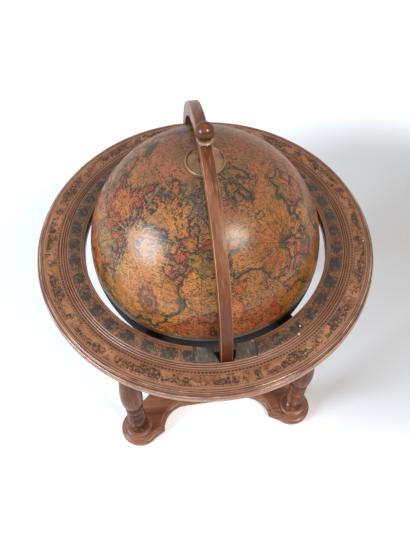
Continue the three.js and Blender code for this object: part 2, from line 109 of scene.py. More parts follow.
ring_segments = 240
globe_segments = 160
globe_rings = 48
disc_segments = 96
disc_rings = (10, 12)
turned_segments = 48
ball_rings = 28
arch_steps = 120
corner_steps = 4
fillet_steps = 14
lobe_steps = 28
reed_steps = 6
guide_steps = 10
bevel_segments = 3
spline_steps = 5
flat_sharp = 30
turned_sharp = 40
ring_sharp = 42
arch_sharp = 45
collar_sharp = 50


def paint(red, green, blue):
    """A shader colour from the 0 to 255 numbers that a picture shows."""
    def linear(value):
        share = value / 255
        return share / 12.92 if share <= 0.04045 else ((share + 0.055) / 1.055) ** 2.4
    return (linear(red), linear(green), linear(blue), 1.0)


# Meshes


def around(radius, angle):
    return (radius * cos(angle), radius * sin(angle))


def shade(mesh, sharp):
    mesh.shade_smooth()
    mesh.set_sharp_from_angle(angle=radians(sharp))


def add_object(name, points, faces):
    """An object from points in millimetres."""
    mesh = bpy.data.meshes.new(name)
    mesh.from_pydata([Vector(point) * METRE for point in points], [], faces)
    made = bpy.data.objects.new(name, mesh)
    bpy.context.collection.objects.link(made)
    return made


def make_piece(name, shape, body, material, sharp=turned_sharp):
    """A piece from the points and faces of its shape. Edges over sharp degrees stay sharp."""
    piece = add_object(name, *shape)
    piece.data.validate()
    piece.data.materials.append(material)
    shade(piece.data, sharp)
    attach(piece, body)
    return piece


def turned_mesh(profile, segments=turned_segments, centre=(0, 0)):
    """Points and faces of a profile of (radius, height) turned about an upright line."""
    points, faces, rows = [], [], []
    for radius, height in profile:
        row = []
        for step in range(segments if radius > 0 else 1):
            x, y = around(radius, 2 * pi * step / segments)
            row.append(len(points))
            points.append((centre[0] + x, centre[1] + y, height))
        rows.append(row)
    closed = len(rows[0]) > 1 and len(rows[-1]) > 1
    pairs = list(zip(rows, rows[1:])) + ([(rows[-1], rows[0])] if closed else [])
    for low, high in pairs:
        for step in range(segments if len(low) + len(high) > 2 else 0):
            after = (step + 1) % segments
            if len(low) == 1:
                faces.append((low[0], high[after], high[step]))
            elif len(high) == 1:
                faces.append((low[step], low[after], high[0]))
            else:
                faces.append((low[step], low[after], high[after], high[step]))
    return points, faces


def lofted_faces(rows):
    """Faces of a closed tube through rows of point numbers, with both of its ends."""
    faces = [tuple(reversed(rows[0])), tuple(rows[-1])]
    count = len(rows[0])
    for low, high in zip(rows, rows[1:]):
        for step in range(count):
            after = (step + 1) % count
            faces.append((low[step], low[after], high[after], high[step]))
    return faces


def spline(points, steps=spline_steps):
    """A smooth line through all points of one run of a turned profile."""
    if len(points) < 3:
        return list(points)
    ends = [points[0]] + list(points) + [points[-1]]
    line = []
    for index in range(1, len(ends) - 2):
        before, start, end, after = ends[index - 1:index + 3]
        for step in range(steps):
            t = step / steps
            line.append(tuple(
                0.5 * (
                    2 * b
                    + (c - a) * t
                    + (2 * a - 5 * b + 4 * c - d) * t * t
                    + (3 * b - a - 3 * c + d) * t ** 3
                )
                for a, b, c, d in zip(before, start, end, after)
            ))
    return line + [points[-1]]


def joined_runs(runs):
    """One profile from smooth runs that meet at corners."""
    profile = []
    for run in runs:
        profile += spline(run)
    return profile


def arc(radius, start, end, steps, level=globe_level):
    """Points of a profile on a circle round the globe's middle, with angles from the pole."""
    angles = [start + (end - start) * step / steps for step in range(steps + 1)]
    return [(radius * sin(angle), level + radius * cos(angle)) for angle in angles]


def cut(piece, shapes, sharp):
    """Cuts closed shapes out of a piece, and leaves no modifier behind."""
    helpers = []
    for number, shape in enumerate(shapes):
        helper = add_object(f"cutter_{number}", *shape)
        boolean = piece.modifiers.new("cut", "BOOLEAN")
        boolean.operation = "DIFFERENCE"
        boolean.solver = "EXACT"
        boolean.object = helper
        helpers.append(helper)
    graph = bpy.context.evaluated_depsgraph_get()
    result = bpy.data.meshes.new_from_object(piece.evaluated_get(graph))
    piece.modifiers.clear()
    old = piece.data
    piece.data = result
    result.name = old.name + "_cut"
    bpy.data.meshes.remove(old)
    for helper in helpers:
        mesh = helper.data
        bpy.data.objects.remove(helper)
        bpy.data.meshes.remove(mesh)
    shade(result, sharp)


def box_mesh(low, high):
    points = [(x, y, z) for x in (low[0], high[0]) for y in (low[1], high[1]) for z in (low[2], high[2])]
    faces = [(0, 1, 3, 2), (4, 6, 7, 5), (0, 4, 5, 1), (2, 3, 7, 6), (0, 2, 6, 4), (1, 5, 7, 3)]
    return points, faces


def rod_mesh(radius, low, high, centre=(0, 0)):
    return turned_mesh([(0, low), (radius, low), (radius, high), (0, high)], centre=centre)


def bored(run):
    """A smooth turned run round the bolt's hole."""
    return [(bolt_hole, run[0][1])] + spline(run) + [(bolt_hole, run[-1][1])]


def finish_faces(piece, materials, pick):
    """Gives every face the material that pick names by its middle, in millimetres, and its normal."""
    piece.data.materials.clear()
    for material in materials:
        piece.data.materials.append(material)
    for face in piece.data.polygons:
        face.material_index = int(pick(face.center / METRE, face.normal))


def soften(piece, width):
    """Rounds the sharp edges of a piece."""
    bevel = piece.modifiers.new("soft edges", "BEVEL")
    bevel.width = width * METRE
    bevel.segments = bevel_segments
    bevel.limit_method = "ANGLE"
    bevel.angle_limit = radians(turned_sharp)
    bevel.harden_normals = True


# Shader nodes


class Graph:
    """Adds nodes to one node tree and hands back their output sockets."""

    def __init__(self, tree):
        self.tree = tree

    def put(self, socket, value):
        """Gives a socket a link or a value. A colour of three numbers is one from 0 to 255."""
        if isinstance(value, bpy.types.NodeSocket):
            self.tree.links.new(value, socket)
        elif socket.type == "RGBA" and len(value) == 3:
            socket.default_value = paint(*value)
        else:
            socket.default_value = value

    def node(self, kind, values=(), **settings):
        """A new node, with values for its inputs in their order, or by number or name."""
        made = self.tree.nodes.new("ShaderNode" + kind)
        for key, value in settings.items():
            setattr(made, key, value)
        for key, value in values.items() if isinstance(values, dict) else enumerate(values):
            self.put(made.inputs[key], value)
        return made

    def result(self, kind, values, output=0, **settings):
        """An output of a new node."""
        return self.node(kind, values, **settings).outputs[output]

    def math(self, operation, *values):
        return self.result("Math", values, operation=operation)

    def plus(self, first, second):
        return self.math("ADD", first, second)

    def minus(self, first, second):
        return self.math("SUBTRACT", first, second)

    def times(self, first, *others):
        for other in others:
            first = self.math("MULTIPLY", first, other)
        return first

    def most(self, first, *others):
        for other in others:
            first = self.math("MAXIMUM", first, other)
        return first

    def away(self, value, level):
        """How far a value lies from a level."""
        return self.math("ABSOLUTE", self.minus(value, level))

    def reach(self, u, v):
        """How far the point u, v lies from 0, 0."""
        return self.math("SQRT", self.plus(self.times(u, u), self.times(v, v)))

    def line_gap(self, value, spacing):
        """How far a value lies from the nearest whole number of spacings."""
        part = self.math("FRACT", self.plus(self.math("DIVIDE", value, spacing), 0.5))
        return self.times(self.away(part, 0.5), spacing)

    def vector(self, operation, *values, output=0):
        return self.result("VectorMath", values, output, operation=operation)

    def shift(self, vector, by):
        return self.vector("ADD", vector, by)

    def dot(self, first, second):
        return self.vector("DOT_PRODUCT", first, second, output="Value")

    def length(self, vector):
        return self.vector("LENGTH", vector, output="Value")

    def scale(self, vector, factor):
        return self.result("VectorMath", {0: vector, "Scale": factor}, operation="SCALE")

    def bend(self, vector, by, amount):
        """Moves a vector by a random colour round middle grey."""
        return self.shift(vector, self.scale(self.vector("SUBTRACT", by, middle_grey), amount))

    def split(self, vector):
        return tuple(self.node("SeparateXYZ", [vector]).outputs)

    def join(self, x, y, z):
        return self.result("CombineXYZ", (x, y, z))

    def step(self, value, low, high, to_low=0.0, to_high=1.0):
        """Goes smoothly from to_low to to_high as the value goes from low to high."""
        values = (value, low, high, to_low, to_high)
        return self.result("MapRange", values, interpolation_type="SMOOTHSTEP")

    def fade(self, value, low, high, strength=1.0):
        """Goes smoothly from a strength to 0 as the value goes from low to high."""
        return self.step(value, low, high, strength, 0.0)

    def mix(self, share, first, second):
        """A mix of two colours: the colour sockets of the node are its inputs 6 and 7 and its output 2."""
        return self.result("Mix", {0: share, 6: first, 7: second}, 2, data_type="RGBA")

    def tint(self, colour, other, value, low, high, strength=1.0):
        """Mixes another colour in, up to a strength, as the value goes from low to high."""
        return self.mix(self.step(value, low, high, 0.0, strength), colour, other)

    def noise(self, vector, scale, detail=3.0, rough=0.5, distort=0.0, output=0):
        values = {"Vector": vector, "Scale": scale, "Detail": detail}
        values.update({"Roughness": rough, "Distortion": distort})
        return self.result("TexNoise", values, output)

    def cells(self, vector, scale, feature="F1", output="Distance"):
        return self.result("TexVoronoi", {"Vector": vector, "Scale": scale}, output, feature=feature)

    def bump(self, height, strength, distance):
        return self.result("Bump", {"Height": height, "Strength": strength, "Distance": distance})


class Finish(Graph):
    """The graph of one new material."""

    def __init__(self, name):
        self.material = bpy.data.materials.new(name)
        self.material.use_nodes = True
        super().__init__(self.material.node_tree)
        self.shader = self.tree.nodes["Principled BSDF"]
        self.place = self.node("TexCoord").outputs["Object"]
        self.colour = None  # what has been laid so far

    def set(self, name, value):
        self.put(self.shader.inputs[name], value)

    def lay(self, share, colour):
        """Lays another colour over the one so far."""
        self.colour = self.mix(share, self.colour, colour)

    def stain(self, colour, value, low, high, strength=1.0):
        """Lays another colour over the one so far, up to a strength, as the value goes from low to high."""
        self.colour = self.tint(self.colour, colour, value, low, high, strength)

    def varnish(self, weight, rough, bend):
        """A clear coat with an even roughness."""
        self.set("Coat Weight", weight)
        self.set("Coat Roughness", rough)
        self.set("Coat IOR", bend)


# Woods and metals

varnish_tint = (1.0, 0.76, 0.55, 1.0)
# painted shade for the grooves of the ring's edge
groove_shade = (46, 24, 15)
# painted highlight for the crests of the ring's edge
crest_highlight = (226, 192, 160)
# the painted shade lines and painted highlight lines fade out over these distances
groove_edges = (0.00032, 0.0008)  # metres from a groove or crest where its colour is full and gone
broad_grain = (28, 3, 0.55, 0.6)  # scale, detail, roughness and distortion of a noise
streak_grain = (170, 4, 0.6, 0.3)
pore_grain = (900, 2, 0.5)
worn_patches = (22, 4, 0.6)


def stained_wood(
        name, colours, coat, grain=(1, 1, 0.07), seed=0.0, rough=0.3, specular=0.2,
        painted_shade_foot=None, shaded_grooves=(), highlight_crests=()):
    """Glossy stained wood: streaks and fine pores along the grain, and worn patches.

    colours are dark, middle and light, from 0 to 255. coat is the weight, roughness and IOR of the varnish.
    grain scales the streaks along X, Y and Z. Heights are in metres: the colour is painted darker, as shade,
    from the upper height of painted_shade_foot down to the lower one, with painted shade along shaded_grooves
    and painted highlights along highlight_crests.
    """
    g = Finish(name)
    dark, middle, light = colours
    height = g.split(g.place)[2]
    along = g.vector("MULTIPLY", g.shift(g.place, (seed, seed * 0.7, seed * 1.3)), grain)
    broad = g.noise(along, *broad_grain)
    streak = g.noise(along, *streak_grain)
    pores = g.noise(along, *pore_grain)
    worn = g.noise(g.place, *worn_patches)
    g.colour = g.tint(dark, middle, broad, 0.32, 0.70)
    g.stain(light, streak, 0.50, 0.78, 0.75)
    g.stain(dark, streak, 0.46, 0.28, 0.55)
    g.stain((*(part / 2 for part in paint(*dark)[:3]), 1), pores, 0.44, 0.30, 0.5)
    # painted shade: the colour darkens towards the lower height, standing in for the shade on the arch's foot
    if painted_shade_foot:
        g.lay(g.fade(height, *painted_shade_foot, 0.85), dark)
    # painted shade: a dark line along each groove of the ring's edge
    for level in shaded_grooves:
        near = g.fade(g.away(height, level), *groove_edges)
        g.lay(g.times(near, 0.7), groove_shade)
    # painted highlight: pale lines along the crests of the ring's edge, broken up by the worn patches
    for level in highlight_crests:
        near = g.fade(g.away(height, level), *groove_edges)
        g.lay(g.times(near, g.step(worn, 0.40, 0.62, 0.1, 0.8)), crest_highlight)
    g.set("Base Color", g.colour)
    g.set("Roughness", g.step(worn, 0.3, 0.75, rough - 0.06, rough + 0.12))
    g.set("Specular IOR Level", specular)
    g.set("Specular Tint", varnish_tint)
    g.varnish(*coat)
    g.set("Normal", g.bump(g.math("MULTIPLY_ADD", pores, 0.4, streak), 0.16, 0.0006))
    return g.material


def edge_levels(shares):
    """Heights in metres of shares of the ring's edge, from its top down."""
    return [(ring_top - edge_depth * share) * METRE for share in shares]


dark_wood = stained_wood(
    "dark wood", [(64, 28, 15), (134, 72, 43), (190, 120, 80)],
    rough=0.26, specular=0.03, coat=(0.13, 0.16, 2.2))
board_wood = stained_wood(
    "board wood", [(116, 68, 46), (162, 106, 78), (194, 144, 116)],
    grain=(0.07, 1, 1), seed=3.1, rough=0.36, specular=0.12, coat=(0.26, 0.28, 2.1))
edge_wood = stained_wood(
    "edge wood", [(122, 68, 41), (172, 108, 71), (202, 142, 104)],
    grain=(0.4, 0.4, 1), seed=7.9, rough=0.24, coat=(0.6, 0.1, 1.7),
    shaded_grooves=edge_levels(shaded_groove_shares), highlight_crests=edge_levels(highlight_crest_shares))
# red wood for the arch, with painted shade darkening it towards its foot
red_wood = stained_wood(
    "red wood", [(86, 37, 13), (156, 96, 62), (198, 142, 102)],
    grain=(1.7, 0.22, 0.22), seed=1.7, rough=0.34, specular=0.1, coat=(0.2, 0.34, 2.2),
    painted_shade_foot=(0.52, 0.66))
# painted highlight: a paler wood for the arch's rounded side edges
edge_highlight_wood = stained_wood(
    "edge highlight wood", [(158, 106, 72), (200, 146, 106), (226, 182, 144)],
    grain=(1, 0.3, 0.3), seed=2.9, specular=0.3, coat=(0.3, 0.2, 1.5))
ball_wood = stained_wood(
    "ball wood", [(40, 15, 4), (108, 52, 18), (178, 104, 46)],
    grain=(0.3, 1, 1), seed=5.2, specular=0.02, coat=(0.2, 0.22, 2.4))
black_wood = stained_wood(
    "black wood", [(30, 24, 20), (46, 37, 31), (64, 52, 44)],
    grain=(0.1, 1, 1), seed=2.4, rough=0.6, specular=0.05, coat=(0.0, 0.12, 1.5))
# the light colour paints pale sheen streaks along the grain, over the dark wood of the guides
sheen_streaked_guide_wood = stained_wood(
    "sheen streaked guide wood", [(34, 28, 26), (96, 82, 75), (178, 162, 152)],
    grain=(1.0, 0.3, 1), seed=4.4, rough=0.34, coat=(0.9, 0.2, 1.5))
lining_wood = stained_wood(
    "lining wood", [(84, 44, 26), (122, 70, 44), (150, 96, 64)],
    grain=(1, 1, 0.3), seed=8.8, rough=0.4, coat=(0.2, 0.3, 1.5))
shelf_wood = stained_wood(
    "shelf wood", [(70, 42, 28), (104, 66, 44), (132, 92, 64)],
    grain=(0.07, 1, 1), seed=6.3, rough=0.34, coat=(0.25, 0.12, 1.5))


def aged_metal(name, base, stain, rough, seed=0.0, metallic=1.0):
    """Metal with a blotchy tarnish and fine scratches. Its two colours are from 0 to 255."""
    g = Finish(name)
    moved = g.shift(g.place, (seed, seed, seed))
    blotch = g.noise(moved, 90, 5, 0.6)
    scratch = g.noise(g.vector("MULTIPLY", moved, (1, 1, 0.1)), 1500, 2, 0.5)
    g.set("Base Color", g.tint(base, stain, blotch, 0.42, 0.72))
    g.set("Metallic", metallic)
    g.set("Roughness", g.step(blotch, 0.35, 0.7, rough, rough + 0.2))
    g.set("Normal", g.bump(scratch, 0.1, 0.0002))
    return g.material


bronze = aged_metal("bronze", (168, 126, 94), (130, 94, 70), 0.4, metallic=0.4)
pale_bronze = aged_metal("pale bronze", (184, 152, 126), (132, 98, 74), 0.32, 3.4, metallic=0.5)
# a slightly paler bronze for the disc's rim: the rim's own metal with a painted highlight
rim_highlight_bronze = aged_metal("rim highlight bronze", (170, 132, 104), (136, 100, 76), 0.34, 5.2, metallic=0.5)
steel = aged_metal("steel", (176, 172, 164), (128, 120, 110), 0.3, 2.0)
# near-black steel for the parts under the arch's slot: painted shade seen through the slot
shade_dark_steel = aged_metal("shade dark steel", (34, 31, 29), (22, 19, 17), 0.5, 6.0, metallic=0.4)


# Marks of ink for the map and the ring


def line_share(g, value, spacing, width, soft=1.6):
    """1 on evenly spaced lines of a value, 0 between them."""
    return g.fade(g.line_gap(value, spacing), width, width * soft)


def band_share(g, value, edges, soft):
    """1 where a value lies between two edges."""
    low, high = edges
    return g.times(g.step(value, low - soft, low + soft), g.fade(value, high - soft, high + soft))


def ink_strokes(g, place, scale, low, high, detail=3.0):
    """Thin wandering strokes, where a noise passes through its middle value."""
    return g.fade(g.away(g.noise(place, scale, detail, 0.62, 0.8), 0.5), low, high)


def ink_dashes(g, place, scale, half_width, half_length, lean):
    """One short straight dash in each of many small cells, turned at random about a common lean."""
    turn = g.vector("SUBTRACT", g.cells(place, scale, output="Color"), middle_grey)
    turn = g.vector("NORMALIZE", g.shift(turn, lean))
    local = g.vector("SUBTRACT", place, g.cells(place, scale, output="Position"))
    away = g.math("ABSOLUTE", g.dot(local, turn))
    line = g.fade(away, half_width, half_width * 2)
    return g.times(line, g.fade(g.length(local), half_length * 0.85, half_length))


# Ornaments on the globe: their size is in radii of the globe, and all lengths in them are in their size


def tangent_place(g, spot, east_degrees, north_degrees, size, turn_degrees):
    """Local coordinates of an ornament on the globe, and a mask of its side."""
    east, north, turn = (radians(v) for v in (east_degrees, north_degrees, turn_degrees))
    out = Vector((sin(east) * cos(north), -cos(east) * cos(north), sin(north)))
    right = Vector((cos(east), sin(east), 0))
    up = out.cross(right)
    across = (right * cos(turn) + up * sin(turn)) / size
    along = (up * cos(turn) - right * sin(turn)) / size
    side = g.math("GREATER_THAN", g.dot(spot, tuple(out)), 0.5)
    return g.dot(spot, tuple(across)), g.dot(spot, tuple(along)), side


def compass_marks(g, spot, east_at, north_at, size):
    """A compass star in a circle, with thin lines that run out from it."""
    u, v, side = tangent_place(g, spot, east_at, north_at, size, 8)
    reach = g.reach(u, v)
    bearing = g.math("ARCTAN2", v, u)
    away = g.times(g.line_gap(bearing, pi / 8), reach)
    lines = g.times(g.fade(away, 0.004, 0.012, 0.85), g.fade(reach, 0.9, 1.0))
    star = g.math("ABSOLUTE", g.math("COSINE", g.times(bearing, 4)))
    star = g.math("MULTIPLY_ADD", g.math("POWER", star, 5), 0.13, 0.03)
    rose = g.fade(g.minus(reach, star), 0.0, 0.02, 0.9)
    circle = g.fade(g.away(reach, 0.12), 0.006, 0.018, 0.8)
    return g.times(g.most(lines, rose, circle), side)


def wreath_marks(g, spot, east_at, north_at, size, turn):
    """A dark wreath of leaves round a small heart."""
    u, v, side = tangent_place(g, spot, east_at, north_at, size, turn)
    u = g.times(u, 1.6)
    reach = g.reach(u, v)
    leaves = g.times(g.math("SINE", g.times(g.math("ARCTAN2", v, u), 13)), 0.09)
    band = g.fade(g.away(g.plus(reach, leaves), 0.72), 0.14, 0.20)
    heart = g.fade(reach, 0.34, 0.42)
    stipple = g.noise(g.shift(spot, (2, 2, 8)), 90, 3, 0.6)
    return g.times(g.most(band, heart), g.step(stipple, 0.42, 0.56, 1.0, 0.45), side)


pale_line, dark_line = (216, 172, 134), (52, 36, 32)
compasses = [  # east, north, size, colour, strength
    (-60, 44, 0.42, pale_line, 0.35), (42, 40, 0.34, dark_line, 0.8), (20, 68, 0.24, dark_line, 0.5),
    (118, 22, 0.38, dark_line, 0.9), (-150, 30, 0.36, dark_line, 0.9),
]
wreaths = [(-36, 20, 0.16, 20), (64, 15, 0.12, -15), (160, 24, 0.15, 5)]  # east, north, size, turn
wreath_colour = (74, 46, 48)

# The map: lands of noise, with lengths in radii of the globe and angles in radians

paper_colours = (168, 104, 42), (204, 136, 70)
pole_sheen_colours = (164, 92, 78), (116, 92, 66)
paper_stains = [  # seed, scale, roughness, start, full, strength, colour
    ((3, 7, 1), 2.3, 0.55, 0.50, 0.64, 0.65, (184, 94, 38)),
    ((4, 1, 2), 1.9, 0.60, 0.54, 0.68, 0.50, (124, 98, 46)),
]
land_place = (5.1, 2.6, 3.7)
land_level = 0.505
deep_sea_place = (-0.54, -0.49, 0.69)
slope_reach = 0.012
state_scale = 3.4
state_colour = (178, 66, 52)
state_colours = [  # start, full, colour
    (0.32, 0.36, (206, 90, 32)), (0.54, 0.60, (192, 124, 56)), (0.80, 0.86, (112, 100, 48)),
]
grid_step = radians(10)
belt_height = 0.05
rail_step = belt_height * 0.33
map_varnish = (0.26, 0.28, 2.2)  # weight, roughness, IOR


def lay_paper(g, spot):
    """Stained old paper, with a painted pinkish-grey sheen, mottled, round the pole."""
    g.colour = g.tint(*paper_colours, g.noise(spot, 2.6, 4, 0.6, 0.4), 0.34, 0.66)
    for seed, scale, rough, start, full, strength, stain in paper_stains:
        g.stain(stain, g.noise(g.shift(spot, seed), scale, 3, rough), start, full, strength)
    # painted sheen: a mottled pinkish-grey tint over the paper round the pole
    pole_sheen = g.tint(*pole_sheen_colours, g.noise(g.shift(spot, (6, 2, 7)), 4.5, 4, 0.6), 0.42, 0.60)
    g.stain(pole_sheen, g.split(spot)[2], 0.76, 0.96, 0.65)


def land_height(g, spot):
    """A place on the globe bent at random, and the made-up height there, with a deep sea at one place."""
    warp = g.noise(g.shift(spot, (7, 3, 5)), 6, 3, 0.55, output="Color")
    bent = g.bend(spot, warp, 0.30)
    height = g.noise(g.shift(bent, land_place), 1.55, 3, 0.5)
    deep = g.step(g.dot(bent, deep_sea_place), 0.90, 1.0, 0.0, 0.16)
    return bent, g.minus(height, deep)


def shore_distance(g, spot, height):
    """How far a place lies from the coast, in radii of the globe: more than 0 on land, less on the sea."""
    east = g.vector("NORMALIZE", g.vector("CROSS_PRODUCT", (0, 0, 1), spot))
    north = g.vector("CROSS_PRODUCT", spot, east)
    rises = [
        g.minus(land_height(g, g.shift(spot, g.scale(way, slope_reach)))[1], height) for way in (east, north)
    ]
    slope = g.math("DIVIDE", g.reach(*rises), slope_reach)
    return g.math("DIVIDE", g.minus(height, land_level), g.most(slope, 0.08))


def lay_land(g, spot, bent, shore, land):
    """States tinted along their borders, a dark wash along the coast, and thin county lines."""
    tint_share = g.split(g.cells(bent, state_scale, output="Color"))[0]
    tint = state_colour
    for start, full, other in state_colours:
        tint = g.tint(tint, other, tint_share, start, full)
    border = g.cells(bent, state_scale, feature="DISTANCE_TO_EDGE")
    edge_tint = g.step(border, 0.0, 0.14, 0.9, 0.3)
    g.lay(g.times(land, g.most(edge_tint, g.fade(shore, 0.0, 0.06, 0.95))), tint)

    wash = g.step(g.noise(g.shift(spot, (1, 8, 3)), 3.2, 3, 0.6), 0.36, 0.56, 0.35, 1.0)
    outside = g.fade(g.math("ABSOLUTE", shore), 0.014, 0.042, 0.9)
    outside = g.times(outside, g.math("MULTIPLY_ADD", land, -0.7, 1.0), wash)
    g.lay(outside, (74, 76, 58))
    g.lay(g.times(g.fade(border, 0.006, 0.022, 0.85), land), (62, 38, 26))
    county = g.cells(g.shift(bent, (5, 9, 4)), 17, feature="DISTANCE_TO_EDGE")
    broken = g.step(g.noise(spot, 24, 2, 0.5), 0.44, 0.54)
    county = g.times(g.fade(county, 0.012, 0.045, 0.8), broken, g.step(land, 0, 1, 0.25, 1.0))
    g.lay(county, (62, 42, 27))


def lay_ink(g, spot, north, shore, land):
    """Rows of strokes on the sea, dashes, curls, hatching and rivers, the coast line, and flecks of age."""
    rows = line_share(g, north, radians(1.1), radians(0.2), 2.0)
    broken = g.step(g.noise(g.vector("MULTIPLY", spot, (1, 1, 6)), 26, 2, 0.5), 0.46, 0.53)
    rows = g.times(rows, broken, g.step(shore, -0.10, -0.02, 0.0, 0.85), g.minus(1.0, land))
    g.lay(rows, (56, 46, 36))

    crowd = g.noise(g.shift(spot, (9, 2, 6)), 6.5, 3, 0.6)
    dashes = ink_dashes(g, spot, 44, 0.0017, 0.016, (0.1, 0.1, 0.5))
    dashes = g.times(dashes, g.step(crowd, 0.44, 0.50, 0.25, 1.0))
    curls = ink_strokes(g, g.vector("MULTIPLY", spot, (1, 1, 2.0)), 30, 0.010, 0.026, 2.5)
    curls = g.times(curls, g.step(crowd, 0.56, 0.48, 0.3, 1.0))
    hatch = line_share(g, g.plus(north, g.times(g.noise(spot, 5, 2, 0.5), 0.25)), 0.014, 0.0017, 2.0)
    hatch = g.times(hatch, g.step(g.noise(g.shift(spot, (3, 3, 9)), 10, 2, 0.5), 0.54, 0.60), 0.75)
    rivers = ink_strokes(g, g.shift(spot, (1, 4, 4)), 13, 0.006, 0.016, 2.0)
    rivers = g.times(rivers, g.step(g.noise(spot, 17, 2, 0.5), 0.44, 0.50))
    gaps = g.step(g.noise(g.shift(spot, (8, 5, 5)), 31, 2, 0.5), 0.38, 0.48, 0.25, 1.0)
    ink = g.times(g.most(rivers, dashes, curls, hatch), g.step(land, 0, 1, 0.8, 1.0), gaps)
    g.lay(ink, (34, 22, 17))
    coast = g.fade(g.math("ABSOLUTE", shore), 0.005, 0.010, 0.95)
    g.lay(coast, (38, 31, 26))
    fleck = g.noise(spot, 80, 3, 0.65)
    g.stain((92, 58, 34), fleck, 0.54, 0.72, 0.35)
    g.stain((224, 164, 98), fleck, 0.46, 0.30, 0.35)


def lay_rules(g, spot, east, north):
    """Meridians and parallels, which fade towards the pole and are pale in places."""
    meridian = g.times(g.line_gap(east, grid_step), g.math("COSINE", north))
    meridian = g.fade(meridian, 0.0010, 0.0040, 0.6)
    parallel = g.times(line_share(g, north, grid_step, 0.0014, 3), 0.6)
    lines = g.times(g.most(meridian, parallel), g.step(north, 0.72, 1.05, 1.0, 0.45))
    lines = g.times(lines, g.step(g.noise(spot, 12, 3, 0.6), 0.42, 0.54, 0.4, 1.0))
    pale = g.noise(g.shift(spot, (5, 5, 1)), 2.2, 2, 0.5)
    g.lay(lines, g.tint((70, 46, 32), (198, 150, 112), pale, 0.50, 0.56))


def printed_map():
    """An old-map print of the builder's own: noise lands, tinted borders, graticule and ornaments."""
    g = Finish("printed globe")
    spot = g.vector("NORMALIZE", g.vector("SUBTRACT", g.place, (0, 0, globe_level * METRE)))
    x, y, z = g.split(spot)
    east = g.math("ARCTAN2", x, g.times(y, -1))
    north = g.math("ARCSINE", z)
    bent, height = land_height(g, spot)
    shore = shore_distance(g, spot, height)
    land = g.step(shore, -0.002, 0.002)

    lay_paper(g, spot)
    lay_land(g, spot, bent, shore, land)
    lay_ink(g, spot, north, shore, land)
    lay_rules(g, spot, east, north)
    open_sea = g.step(land, 0, 1, 1.0, 0.4)
    for east_at, north_at, size, line_colour, strength in compasses:
        mark = g.times(compass_marks(g, spot, east_at, north_at, size), strength, open_sea)
        g.lay(mark, line_colour)
    for east_at, north_at, size, turn in wreaths:
        mark = g.times(wreath_marks(g, spot, east_at, north_at, size, turn), 0.9)
        g.lay(mark, wreath_colour)
    belt = band_share(g, north, (0.0, belt_height), 0.004)
    g.lay(g.times(belt, 0.7), (74, 56, 34))
    rails = line_share(g, north, rail_step, 0.0012, 2.5)
    g.lay(g.times(rails, belt, 0.8), (44, 32, 22))

    worn = g.noise(spot, 14, 5, 0.65)
    g.stain((210, 156, 104), worn, 0.6, 0.8, 0.3)
    g.set("Base Color", g.colour)
    g.set("Roughness", g.step(worn, 0.3, 0.7, 0.38, 0.5))
    g.set("Specular IOR Level", 0.02)
    g.varnish(*map_varnish)
    g.set("Normal", g.bump(g.noise(spot, 60, 4, 0.6), 0.06, 0.0008))
    return g.material


# The ring's print: radii and widths in millimetres

inner_band = (219.4, 241.2)
outer_band = (260.3, 281.8)
reed_band = (241.8, 254.2)
dot_band = (256.2, 258.8)
band_soft = 0.3
medal_count = 40
medal_radius = 230.3
medal_half_height = 9.2
scene_count = 15
scene_radius = 271
scene_half_height = 10.75
dot_count = 280
dot_share = 0.22
dot_soft = 0.25
ring_lines = [  # radius, half width, colour, strength
    (213.8, 0.7, (150, 116, 96), 0.7), (217.6, 0.5, (56, 38, 28), 0.8),
    (219.2, 0.4, (158, 116, 84), 0.7), (241.4, 0.4, (56, 38, 28), 0.8),
    (254.6, 0.45, (178, 132, 98), 0.8), (260.1, 0.45, (178, 132, 98), 0.8),
    (261.4, 0.35, (66, 44, 32), 0.7), (280.6, 0.35, (66, 44, 32), 0.7),
    (282.2, 0.5, (186, 138, 104), 0.8), (285.2, 0.5, (96, 52, 34), 0.8),
    (287.2, 0.5, (176, 124, 96), 0.8),
]
chips = [(277.8, -9.7), (242.4, -59.9), (233.1, -57.2), (264.3, 28.2)]  # radius, degrees from +X
chip_sizes = (1.2, 1.9)
chip_sway = 4
ring_varnish = (0.3, 0.25, 1.5)  # weight, roughness, IOR


def round_slots(g, turn, count, phase=0.0):
    """Where a point lies in one of many equal slots round the ring, from -1 to 1, and the slot's number."""
    place = g.plus(g.times(turn, count), phase)
    return g.times(g.minus(g.math("FRACT", place), 0.5), 2), g.math("FLOOR", place)


def medal_share(g, turn, radius, ragged, wobble):
    """The inner band's ragged medallions, and the number of each."""
    across, number = round_slots(g, turn, medal_count)
    lean = g.minus(g.noise(g.join(number, 0.5, 3.5), 0.73, 1, 0.5), 0.5)
    u = g.math("DIVIDE", g.plus(across, g.times(lean, 0.5)), 0.70)
    v = g.math("DIVIDE", g.minus(radius, medal_radius), medal_half_height)
    edge = g.plus(g.math("POWER", g.math("ABSOLUTE", u), 2.4), g.math("POWER", g.math("ABSOLUTE", v), 2.8))
    edge = g.plus(edge, g.math("MULTIPLY_ADD", ragged, 4.0, g.times(wobble, 2.6)))
    return g.fade(edge, 0.85, 1.15), number


